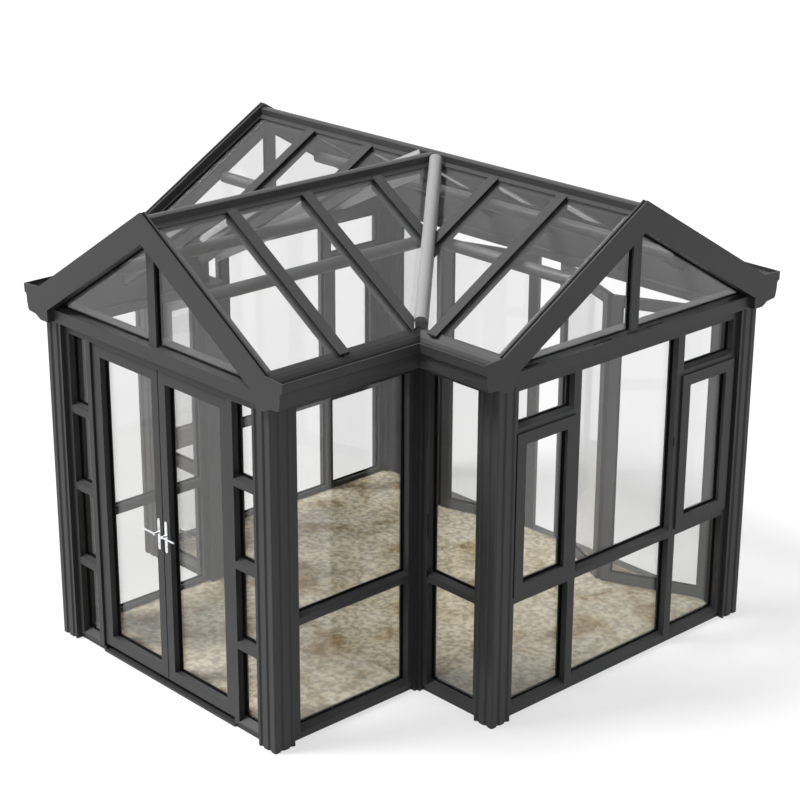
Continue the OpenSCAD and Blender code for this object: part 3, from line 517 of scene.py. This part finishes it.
@dataclass
class Studio:
    """A white paper floor, soft daylight from the upper left and the photograph's camera."""

    seen_colour: str = "#f4f4f4"
    paper_glow: float = 0.62
    lit_colour: str = "#6e6e6e"
    floor_half: float = 60.0
    floor_drop: float = 0.002
    sky: float = 0.56
    sun_strength: float = 3.7
    sun_angle_deg: float = 18.0
    sun_from: tuple[float, float, float] = (-0.40, -0.50, 0.92)
    camera_place: tuple[float, float, float] = (9.498, -8.711, 6.333)
    azimuth_deg: float = 46.8272
    elevation_deg: float = 20.611
    roll_deg: float = 0.2768
    lens_mm: float = 93.5
    sensor_mm: float = 36.0

    def shown(self, tree: bpy.types.NodeTree) -> bpy.types.NodeSocket:
        """Return 1 where a ray comes from the camera, a mirror or through glass.

        Args:
            tree: the tree that asks.

        Returns:
            The socket that carries the 1 or 0.
        """
        path = add_node(tree, "ShaderNodeLightPath")
        seen = add_node(tree, "ShaderNodeMath", {"operation": "MAXIMUM"},
                        {0: path.outputs["Is Camera Ray"], 1: path.outputs["Is Transmission Ray"]})
        return add_node(tree, "ShaderNodeMath", {"operation": "MAXIMUM"},
                        {0: seen.outputs[0], 1: path.outputs["Is Glossy Ray"]}).outputs[0]

    def floor(self) -> None:
        """Lay the studio paper: white where it is seen, and darker in the light that it throws back."""
        mesh = bpy.data.meshes.new("studio_floor")
        h = self.floor_half
        mesh.from_pydata([(-h, -h, 0), (h, -h, 0), (h, h, 0), (-h, h, 0)], [], [(0, 1, 2, 3)])
        material, tree, surface = new_material("studio_paper")
        lit = add_node(tree, "ShaderNodeBsdfDiffuse", inputs={"Color": linear(self.lit_colour)})
        paper = add_node(tree, "ShaderNodeBsdfDiffuse", inputs={"Color": linear(self.seen_colour)})
        glow = add_node(tree, "ShaderNodeEmission", inputs={"Color": (1, 1, 1, 1), "Strength": 1.0})
        seen = add_node(tree, "ShaderNodeMixShader",
                        inputs={0: self.paper_glow, 1: paper.outputs[0], 2: glow.outputs[0]})
        mix = add_node(tree, "ShaderNodeMixShader",
                       inputs={0: self.shown(tree), 1: lit.outputs[0], 2: seen.outputs[0]})
        tree.links.new(mix.outputs[0], surface)
        mesh.materials.append(material)
        obj = bpy.data.objects.new("studio_floor", mesh)
        obj.location.z = -self.floor_drop
        bpy.context.scene.collection.objects.link(obj)

    def world(self) -> None:
        """Give the sky a plain light, and white wherever it is seen, mirrored or seen through glass."""
        world = bpy.data.worlds.new("studio_sky")
        world.use_nodes = True
        tree = world.node_tree
        tree.nodes.clear()
        light = add_node(tree, "ShaderNodeBackground", inputs={"Color": (1, 1, 1, 1), "Strength": self.sky})
        white = add_node(tree, "ShaderNodeBackground", inputs={"Color": (1, 1, 1, 1), "Strength": 1.0})
        mix = add_node(tree, "ShaderNodeMixShader",
                       inputs={0: self.shown(tree), 1: light.outputs[0], 2: white.outputs[0]})
        output = tree.nodes.new("ShaderNodeOutputWorld")
        tree.links.new(mix.outputs[0], output.inputs["Surface"])
        bpy.context.scene.world = world

    def sun(self) -> None:
        """Hang one broad soft lamp over the upper left."""
        lamp = bpy.data.lights.new("soft_key", "SUN")
        lamp.energy = self.sun_strength
        lamp.angle = math.radians(self.sun_angle_deg)
        obj = bpy.data.objects.new("soft_key", lamp)
        obj.rotation_mode = "QUATERNION"
        obj.rotation_quaternion = Vector(self.sun_from).to_track_quat("Z", "Y")
        bpy.context.scene.collection.objects.link(obj)

    def camera(self) -> None:
        """Place the camera where the photograph was taken from."""
        az, el, roll = (math.radians(a) for a in (self.azimuth_deg, self.elevation_deg, self.roll_deg))
        ahead = Vector((-math.sin(az) * math.cos(el), math.cos(az) * math.cos(el), -math.sin(el)))
        right = Vector((math.cos(az), math.sin(az), 0))
        up = right.cross(ahead)
        right_rolled = right * math.cos(roll) + up * math.sin(roll)
        up_rolled = -right * math.sin(roll) + up * math.cos(roll)
        data = bpy.data.cameras.new("camera")
        data.lens = self.lens_mm
        data.sensor_width = self.sensor_mm
        obj = bpy.data.objects.new("camera", data)
        turn = Matrix((right_rolled, up_rolled, -ahead)).transposed()
        obj.matrix_world = Matrix.Translation(self.camera_place) @ turn.to_4x4()
        bpy.context.scene.collection.objects.link(obj)
        bpy.context.scene.camera = obj

    def build(self) -> None:
        """Set the stage, the light, the camera and the plain colour view."""
        self.floor()
        self.world()
        self.sun()
        self.camera()
        bpy.context.scene.view_settings.view_transform = "Standard"
        log.info("studio set")


@dataclass
class Finishes:
    """The materials of the whole conservatory, each made once."""

    coat: bpy.types.Material = field(default_factory=lambda: PowderCoat().material())
    pale_coat: bpy.types.Material = field(default_factory=lambda: PowderCoat(
        name="pale_powder_coated_aluminium", colour="#8d8d8d", pale="#999999").material())
    glass: bpy.types.Material = field(default_factory=lambda: ClearGlass().material())
    chrome: bpy.types.Material = field(default_factory=lambda: SatinChrome().material())
    rubber: bpy.types.Material = field(default_factory=lambda: Rubber().material())
    stone: bpy.types.Material = field(default_factory=lambda: StoneFloor().material())


@dataclass
class Dressing:
    """Gives every CAD node its finish."""

    finishes: Finishes
    chromed: tuple[str, ...] = ("left_plates", "right_plates", "left_lever", "right_lever")

    def finish_of(self, name: str) -> bpy.types.Material:
        """Choose the finish of a CAD node by its name.

        Args:
            name: the node's name.

        Returns:
            The material.
        """
        if name.endswith("glass"):
            return self.finishes.glass
        if name in self.chromed:
            return self.finishes.chrome
        if name == "floor_slab":
            return self.finishes.stone
        return self.finishes.pale_coat if name == "valleys" else self.finishes.coat

    def build(self) -> None:
        """Assign the finishes."""
        for name, node in frame["nodes"].items():
            finish = self.finish_of(name)
            for slot in node.material_slots:
                slot.material = finish
            log.info("dressed %s in %s", name, finish.name)


# The frame's sizes that the added pieces follow


@dataclass(frozen=True)
class Plan:
    """Sizes of the CAD frame in metres, with Y 0 at the main front wall face until at() shifts them."""

    shift_y: float = -0.673
    main_half: float = 1.76
    depth_half: float = 1.19
    wing_half: float = 1.1
    wing_length: float = 1.16
    ridge_height: float = 3.115
    roof_rise: float = 0.701
    cap_down: float = 0.040
    cap_thickness: float = 0.008
    cap_gap: float = 0.014
    cap_width: float = 0.076
    cap_foot: float = 0.024
    pane_foot: float = 0.066
    ridge_half: float = 0.034
    flashing_width: float = 0.028
    wing_bays: int = 4
    half_bays: int = 3
    valley_clear: float = 0.052
    verge_flange: float = 0.024

    def at(self, x: float, y: float, z: float) -> Vector:
        """Return a plan point in the row frame."""
        return Vector((x, y + self.shift_y, z))

    def roof_z(self, r: float, run: float, down: float) -> float:
        """Return the height of the roof, down under the verge line, at a level distance r from the ridge."""
        return self.ridge_height - r * self.roof_rise / run - down


# Rubber seals


@dataclass
class GlazingGaskets:
    """Wedge gaskets round every pane of the walls, gables and doors, on both faces."""

    finishes: Finishes
    width: float = 0.009
    outer_height: float = 0.005
    inner_height: float = 0.002
    weld: float = 1e-5
    flat_deg: float = 1.0
    sharpest_mitre: float = 0.2
    roof_nodes: tuple[str, ...] = ("wing_roof_glass", "main_roof_glass")

    def faces(self, node: bpy.types.Object) -> list[tuple[list[Vector], Vector]]:
        """Find the two broad faces of each pane.

        Args:
            node: a CAD node of glass.

        Returns:
            The corners and the normal of each broad face.
        """
        bm = bmesh.new()
        bm.from_mesh(node.data)
        bmesh.ops.remove_doubles(bm, verts=bm.verts, dist=self.weld)
        bmesh.ops.dissolve_limit(bm, angle_limit=math.radians(self.flat_deg), verts=bm.verts, edges=bm.edges)
        found, seen = [], set()
        for start in bm.faces:
            if start in seen:
                continue
            island, queue = [], [start]
            seen.add(start)
            while queue:
                face = queue.pop()
                island.append(face)
                for edge in face.edges:
                    for near in edge.link_faces:
                        if near not in seen:
                            seen.add(near)
                            queue.append(near)
            broad = sorted(island, key=lambda f: -f.calc_area())[:2]
            found += [([v.co.copy() for v in f.verts], f.normal.copy()) for f in broad]
        bm.free()
        return found

    def inset(self, corners: list[Vector], normal: Vector) -> list[Vector]:
        """Move the corners of a flat outline inwards by the gasket's width, with true mitres.

        Args:
            corners: the outline, in order round the normal.
            normal: the way that the outline faces.

        Returns:
            The inner outline.
        """
        inner = []
        for i, corner in enumerate(corners):
            before = (corner - corners[i - 1]).normalized()
            after = (corners[(i + 1) % len(corners)] - corner).normalized()
            in_before, in_after = normal.cross(before), normal.cross(after)
            mitre = (in_before + in_after).normalized()
            inner.append(corner + mitre * (self.width / max(mitre.dot(in_before), self.sharpest_mitre)))
        return inner

    def ring(self, bm: bmesh.types.BMesh, corners: list[Vector], normal: Vector) -> None:
        """Add one wedge ring on a pane's face, thick against the frame and thin towards the view.

        Args:
            bm: the mesh that takes the ring.
            corners: the outline of the face, in order round the normal.
            normal: the way that the face looks.
        """
        inner = self.inset(corners, normal)
        count = len(corners)
        loops = [
            [bm.verts.new(c) for c in corners],
            [bm.verts.new(c + normal * self.outer_height) for c in corners],
            [bm.verts.new(c + normal * self.inner_height) for c in inner],
            [bm.verts.new(c) for c in inner],
        ]
        for a, b in zip(loops, loops[1:] + loops[:1]):
            for i in range(count):
                j = (i + 1) % count
                bm.faces.new((a[i], a[j], b[j], b[i]))

    def build(self) -> None:
        """Make one piece of gaskets for each glass node."""
        for name, node in frame["nodes"].items():
            if not name.endswith("glass") or name in self.roof_nodes:
                continue
            bm = bmesh.new()
            for corners, normal in self.faces(node):
                self.ring(bm, corners, normal)
            mesh = mesh_from(bm, name + "_gaskets", self.finishes.rubber)
            add_piece(name + "_gaskets", mesh, BODY_OF_NODE[name])


@dataclass
class RoofSeals:
    """Rubber strips of the roof under the bar caps and along the flashings, and a black strip in each verge
    groove as painted groove shade.
    """

    finishes: Finishes
    plan: Plan
    inset: float = 0.006
    clear: float = 0.002
    apex_gap: float = 0.006
    seal_width: float = 0.006
    seal_fill: float = 0.84
    groove_at: float = 0.020
    groove_depth: float = 0.0058
    # Width and height of the black strip that fills each verge groove as painted shade of the groove.
    groove_shade_width: float = 0.0155
    groove_shade_height: float = 0.0085
    edge_seal: float = 0.010
    edge_height: float = 0.004
    lines: dict[str, list[tuple[Vector, Vector]]] = field(default_factory=dict)

    def slope(self, group: str, run: float, r0: float, r1: float, down: float,
              place: Callable[[float, float], Vector]) -> None:
        """Add one line down a slope.

        Args:
            group: the group of strips that it belongs to.
            run: level distance from ridge to wall face.
            r0: upper end, measured level from the ridge.
            r1: lower end.
            down: distance under the verge line.
            place: turns a distance r and a height into a point.
        """
        p = self.plan
        self.lines.setdefault(group, []).append(
            (place(r0, p.roof_z(r0, run, down)), place(r1, p.roof_z(r1, run, down))))

    def bar_lines(self) -> None:
        """Lay two lines under the edges of every bar cap, clear of ridges and valleys."""
        p = self.plan
        down = p.cap_down + p.cap_thickness + p.cap_gap / 2
        top = p.ridge_half + p.flashing_width + self.clear
        offset = p.cap_width / 2 - self.inset
        wing_bay = (p.wing_length + p.depth_half) / p.wing_bays
        valley = math.hypot(p.wing_half, p.depth_half)
        for i in range(1, p.wing_bays):
            for edge in (-offset, offset):
                y = -p.wing_length + i * wing_bay + edge
                cut = (p.depth_half - p.valley_clear * valley / p.wing_half - y) * p.wing_half / p.depth_half
                end = min(p.wing_half - p.cap_foot - self.clear, cut)
                for side in Side:
                    self.slope("bars", p.wing_half, top, end, down,
                               lambda r, z, y=y, s=side.value: p.at(s * r, y, z))
        bay = p.main_half / p.half_bays
        foot = p.depth_half - p.cap_foot - self.clear
        for i in range(1 - p.half_bays, p.half_bays):
            for edge in (-offset, offset):
                x = i * bay + edge
                self.slope("bars", p.depth_half, top, foot, down,
                           lambda r, z, x=x: p.at(x, p.depth_half + r, z))
                cut = (abs(x) - p.valley_clear * valley / p.depth_half) * p.depth_half / p.wing_half
                if i and cut > top:
                    self.slope("bars", p.depth_half, top, min(foot, cut), down,
                               lambda r, z, x=x: p.at(x, p.depth_half - r, z))

    def verge_lines(self) -> None:
        """Lay a line in each verge groove for a black strip of painted groove shade, and one along the flange
        on the glass.
        """
        p = self.plan
        flange = p.verge_flange + self.edge_seal / 2
        glass = p.cap_down + p.cap_thickness + p.cap_gap - self.edge_height / 2
        top = p.ridge_half + p.flashing_width
        for side in Side:
            s = side.value
            # The groove line carries a black strip of painted groove shade.
            self.slope("groove_shade", p.wing_half, self.apex_gap, p.wing_half, self.groove_depth,
                       lambda r, z: p.at(s * r, -p.wing_length - self.groove_at, z))
            self.slope("edges", p.wing_half, top, p.wing_half - p.pane_foot, glass,
                       lambda r, z: p.at(s * r, -p.wing_length + flange, z))
            for way in (-1, 1):
                self.slope("groove_shade", p.depth_half, self.apex_gap, p.depth_half, self.groove_depth,
                           lambda r, z: p.at(s * (p.main_half + self.groove_at), p.depth_half + way * r, z))
                self.slope("edges", p.depth_half, top, p.depth_half - p.pane_foot, glass,
                           lambda r, z: p.at(s * (p.main_half - flange), p.depth_half + way * r, z))

    def build(self) -> None:
        """Run the strips and put them on the house."""
        self.bar_lines()
        self.verge_lines()
        # The groove strips are black strips that paint the shade inside the verge grooves.
        sections = {"bars": (self.seal_width, self.plan.cap_gap * self.seal_fill),
                    "groove_shade": (self.groove_shade_width, self.groove_shade_height),
                    "edges": (self.edge_seal, self.edge_height)}
        tree = strip_tree()
        for group, lines in self.lines.items():
            base = bpy.data.meshes.new(group)
            base.from_pydata([point for line in lines for point in line],
                             [(2 * i, 2 * i + 1) for i in range(len(lines))], [])
            width, height = sections[group]
            mesh = grow("roof_seals_" + group, base, tree,
                        {"Width": width, "Height": height, "Finish": self.finishes.rubber})
            add_piece("roof_seals_" + group, mesh, "house")


# Hardware and small fittings


@dataclass
class DoorFittings:
    """Key cylinders and screws on the handle plates, and screws in the hinge plates of the jambs."""

    finishes: Finishes
    plan: Plan
    plate_x: float = 0.036
    plate_front: float = 0.03685
    plate_back: float = 0.13115
    cylinder_z: float = 0.988
    cylinder_radius: float = 0.0085
    cylinder_head: float = 0.004
    screw_heights: tuple[float, ...] = (0.954, 1.145)
    screw_radius: float = 0.0036
    screw_head: float = 0.0016
    jamb_x: float = 0.6905
    jamb_y: float = 0.124
    hinge_heights: tuple[float, ...] = (0.316, 1.0955, 1.875)
    jamb_drop: float = 0.0603
    bite: float = 0.0004

    def points(self, name: str, places: list[tuple[Vector, float]]) -> bpy.types.Mesh:
        """Make a mesh of loose points, each with the way that it faces.

        Args:
            name: the mesh's name.
            places: each point and its sign along Y.

        Returns:
            The mesh, with an outward attribute.
        """
        base = bpy.data.meshes.new(name)
        base.from_pydata([place - Vector((0, way * self.bite, 0)) for place, way in places], [], [])
        outward = base.attributes.new("outward", "FLOAT_VECTOR", "POINT")
        for item, (_, way) in zip(outward.data, places):
            item.vector = (0.0, way, 0.0)
        return base

    def build(self) -> None:
        """Make the fittings of both leaves and both jambs."""
        tree, front = screw_tree(), -self.plan.wing_length
        screw = {"Radius": self.screw_radius, "Head": self.screw_head, "Finish": self.finishes.chrome}
        lock = {"Radius": self.cylinder_radius, "Head": self.cylinder_head, "Finish": self.finishes.chrome}
        jambs = []
        for side, body in ((Side.LEFT, "left_door"), (Side.RIGHT, "right_door")):
            faces = ((front + self.plate_front, -1.0), (front + self.plate_back, 1.0))
            x = side.value * self.plate_x
            screws = [(self.plan.at(x, y, z), way) for y, way in faces for z in self.screw_heights]
            locks = [(self.plan.at(x, y, self.cylinder_z), way) for y, way in faces]
            for name, places, values in (("plate_screws", screws, screw), ("key_cylinders", locks, lock)):
                full = body + "_" + name
                add_piece(full, grow(full, self.points(full, places), tree, values), body)
            jambs += [(self.plan.at(side.value * self.jamb_x, front + self.jamb_y, z - self.jamb_drop), 1.0)
                      for z in self.hinge_heights]
        mesh = grow("hinge_screws", self.points("hinges", jambs), tree, screw)
        add_piece("hinge_screws", mesh, "house")


@dataclass
class FoldingHinges:
    """Butt hinges at the fold of each pair of folding doors, on the outer side."""

    finishes: Finishes
    plan: Plan
    panel: float = 0.761
    start: float = 1.5587
    face: float = 0.0525
    thickness: float = 0.045
    angles_deg: tuple[tuple[Side, float], ...] = ((Side.RIGHT, 24.0), (Side.LEFT, 17.0))
    heights: tuple[float, ...] = (0.30, 1.095, 1.89)
    barrel: float = 0.007
    length: float = 0.09
    leaf: float = 0.034
    plate: float = 0.0025

    def fold_line(self, side: Side, angle: float) -> Vector:
        """Return the outer edge of a fold at floor level, snapped to the CAD panels.

        Args:
            side: the pair's side.
            angle: how far its panels stand in, in radians.

        Returns:
            The point in the row frame.
        """
        inset = self.start - self.thickness * math.sin(angle)
        guess = self.plan.at(side.value * (inset - self.panel * math.cos(angle)),
                             2 * self.plan.depth_half - self.face - self.panel * math.sin(angle), 0.0)
        corners = frame["nodes"]["folding_doors"].data.vertices
        best = min((v.co for v in corners), key=lambda co: (co.xy - guess.xy).length)
        log.info("fold line %s: %.1f mm from the drawing", side.name, (best.xy - guess.xy).length * 1000)
        return Vector((best.x, best.y, 0.0))

    def build(self) -> None:
        """Hang three hinges on each fold."""
        tree = hinge_tree()
        for side, degrees in self.angles_deg:
            angle = math.radians(degrees)
            line = self.fold_line(side, angle)
            name = side.name.lower() + "_fold_hinges"
            base = bpy.data.meshes.new(name)
            base.from_pydata([line + Vector((0, 0, z)) for z in self.heights], [], [])
            mesh = grow(name, base, tree, {"Angle": angle, "Barrel": self.barrel, "Length": self.length,
                                           "Leaf": self.leaf, "Thickness": self.plate,
                                           "Finish": self.finishes.coat})
            add_piece(name, mesh, "house")


@dataclass
class SlotShadeStrips:
    """Black strips on the drainage and fixing slots that show on the walls and on the end tie's bevel, as
    painted shade of the open slots.
    """

    finishes: Finishes
    plan: Plan
    width: float = 0.008
    proud: float = 0.0012
    sunk: float = 0.001
    chamfer: float = 0.001
    spans: tuple[tuple[tuple[float, float, float], tuple[float, float, float]], ...] = (
        ((1.154, 0.030, 1.227), (1.154, 0.030, 1.080)),
        ((1.158, 0.030, 0.852), (1.158, 0.030, 0.798)),
        ((1.730, 1.642, 1.469), (1.730, 1.642, 1.406)),
        ((1.735, 0.216, 2.267), (1.735, 0.343, 2.267)),
        ((1.735, 0.819, 2.267), (1.735, 0.982, 2.267)),
        ((1.735, 1.118, 2.267), (1.735, 1.211, 2.267)),
        ((1.735, 1.303, 2.267), (1.735, 1.463, 2.267)),
        ((1.735, 2.099, 2.267), (1.735, 2.305, 2.267)),
    )

    def nearest(self, point: Vector) -> tuple[Vector, Vector]:
        """Find the place on the frame that is nearest to a point.

        Args:
            point: a point in the row frame.

        Returns:
            The place and the way that the frame faces there.
        """
        best = None
        for name, node in frame["nodes"].items():
            if name.endswith("glass"):
                continue
            inside = node.matrix_world.inverted() @ point
            hit, place, normal, _ = node.closest_point_on_mesh(inside)
            if hit:
                gap = (place - inside).length
                if best is None or gap < best[0]:
                    best = (gap, node.matrix_world @ place,
                            (node.matrix_world.to_3x3() @ normal).normalized())
        return best[1], best[2]

    def lay_shade_strip(self, bm: bmesh.types.BMesh, a: Vector, b: Vector) -> None:
        """Lay one chamfered black strip of painted slot shade on the frame between two points.

        Args:
            bm: the mesh that takes the cover.
            a: one end, near the frame.
            b: the other end.
        """
        place, normal = self.nearest((a + b) / 2)
        along = (b - a).normalized()
        along = (along - normal * along.dot(normal)).normalized()
        across = normal.cross(along)
        half_l, half_w = (b - a).length / 2, self.width / 2
        corners = ((-1, -1), (1, -1), (1, 1), (-1, 1))
        rings = []
        for height, shrink in ((-self.sunk, 0.0), (self.proud / 2, 0.0), (self.proud, self.chamfer)):
            rings.append([bm.verts.new(place + normal * height + along * (u * (half_l - shrink))
                                       + across * (v * (half_w - shrink))) for u, v in corners])
        bm.faces.new(rings[0][::-1])
        bm.faces.new(rings[-1])
        for low, high in zip(rings, rings[1:]):
            for i in range(len(corners)):
                j = (i + 1) % len(corners)
                bm.faces.new((low[i], low[j], high[j], high[i]))

    def build(self) -> None:
        """Make the strips of painted slot shade as one piece."""
        bm = bmesh.new()
        for start, end in self.spans:
            self.lay_shade_strip(bm, self.plan.at(*start), self.plan.at(*end))
        # The black rubber finish here paints the shade inside the slots.
        add_piece("painted_slot_shade", mesh_from(bm, "painted_slot_shade", self.finishes.rubber), "house")


def main() -> None:
    """Build the studio and dress the conservatory, one sub-assembly after another."""
    logging.basicConfig(level=logging.INFO, format="%(name)s: %(message)s")
    finishes, plan = Finishes(), Plan()
    Studio().build()
    Dressing(finishes).build()
    GlazingGaskets(finishes).build()
    RoofSeals(finishes, plan).build()
    DoorFittings(finishes, plan).build()
    FoldingHinges(finishes, plan).build()
    SlotShadeStrips(finishes, plan).build()


if __name__ == "__main__":
    main()
